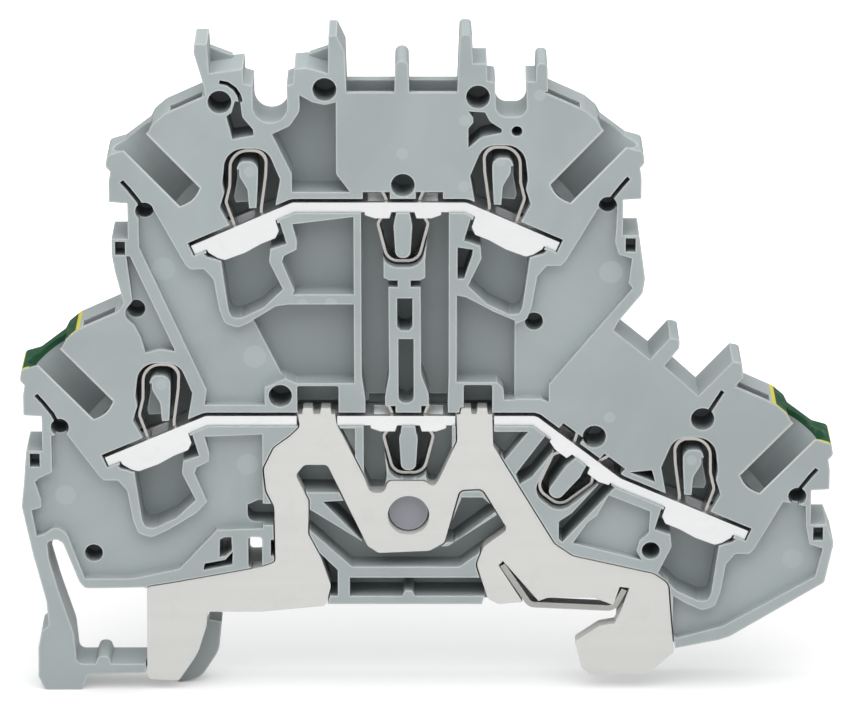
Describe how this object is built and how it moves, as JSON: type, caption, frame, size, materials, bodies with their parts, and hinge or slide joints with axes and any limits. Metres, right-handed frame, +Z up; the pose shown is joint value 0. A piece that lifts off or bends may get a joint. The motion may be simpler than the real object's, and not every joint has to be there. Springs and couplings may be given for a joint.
{
  "type": "double level terminal block",
  "caption": "Rail-mounted double level terminal block, open on one side: grey housing with spring clamps, tinned busbars and a stamped ground foot that grips the rail.",
  "frame": {"origin": "middle of the rail seat: centred between the rail's edges, at mid-width of the block, on the plane of the rail's upper face", "axes": "+X along the block towards the end without the release latch, +Y across the width towards the closed side, +Z up, away from the rail"},
  "size_m": [0.0702, 0.0065, 0.0591],
  "materials": {
    "grey_plastic": "fine satin moulded polyamide",
    "tinned_copper": "bright tin plating on copper",
    "spring_steel": "bright rolled spring strip",
    "foot_metal": "matt tin plating"
  },
  "bodies": {
    "root": {"housing": "grey_plastic", "upper_busbar": "tinned_copper", "lower_busbar": "tinned_copper", "upper_left_clamp_spring": "spring_steel", "upper_right_clamp_spring": "spring_steel", "lower_left_clamp_spring": "spring_steel", "lower_right_clamp_spring": "spring_steel", "upper_jumper_spring": "spring_steel", "lower_jumper_spring": "spring_steel", "ramp_jumper_spring": "spring_steel", "ground_foot": "foot_metal", "foot_spring": "spring_steel"}
  },
  "joints": []
}
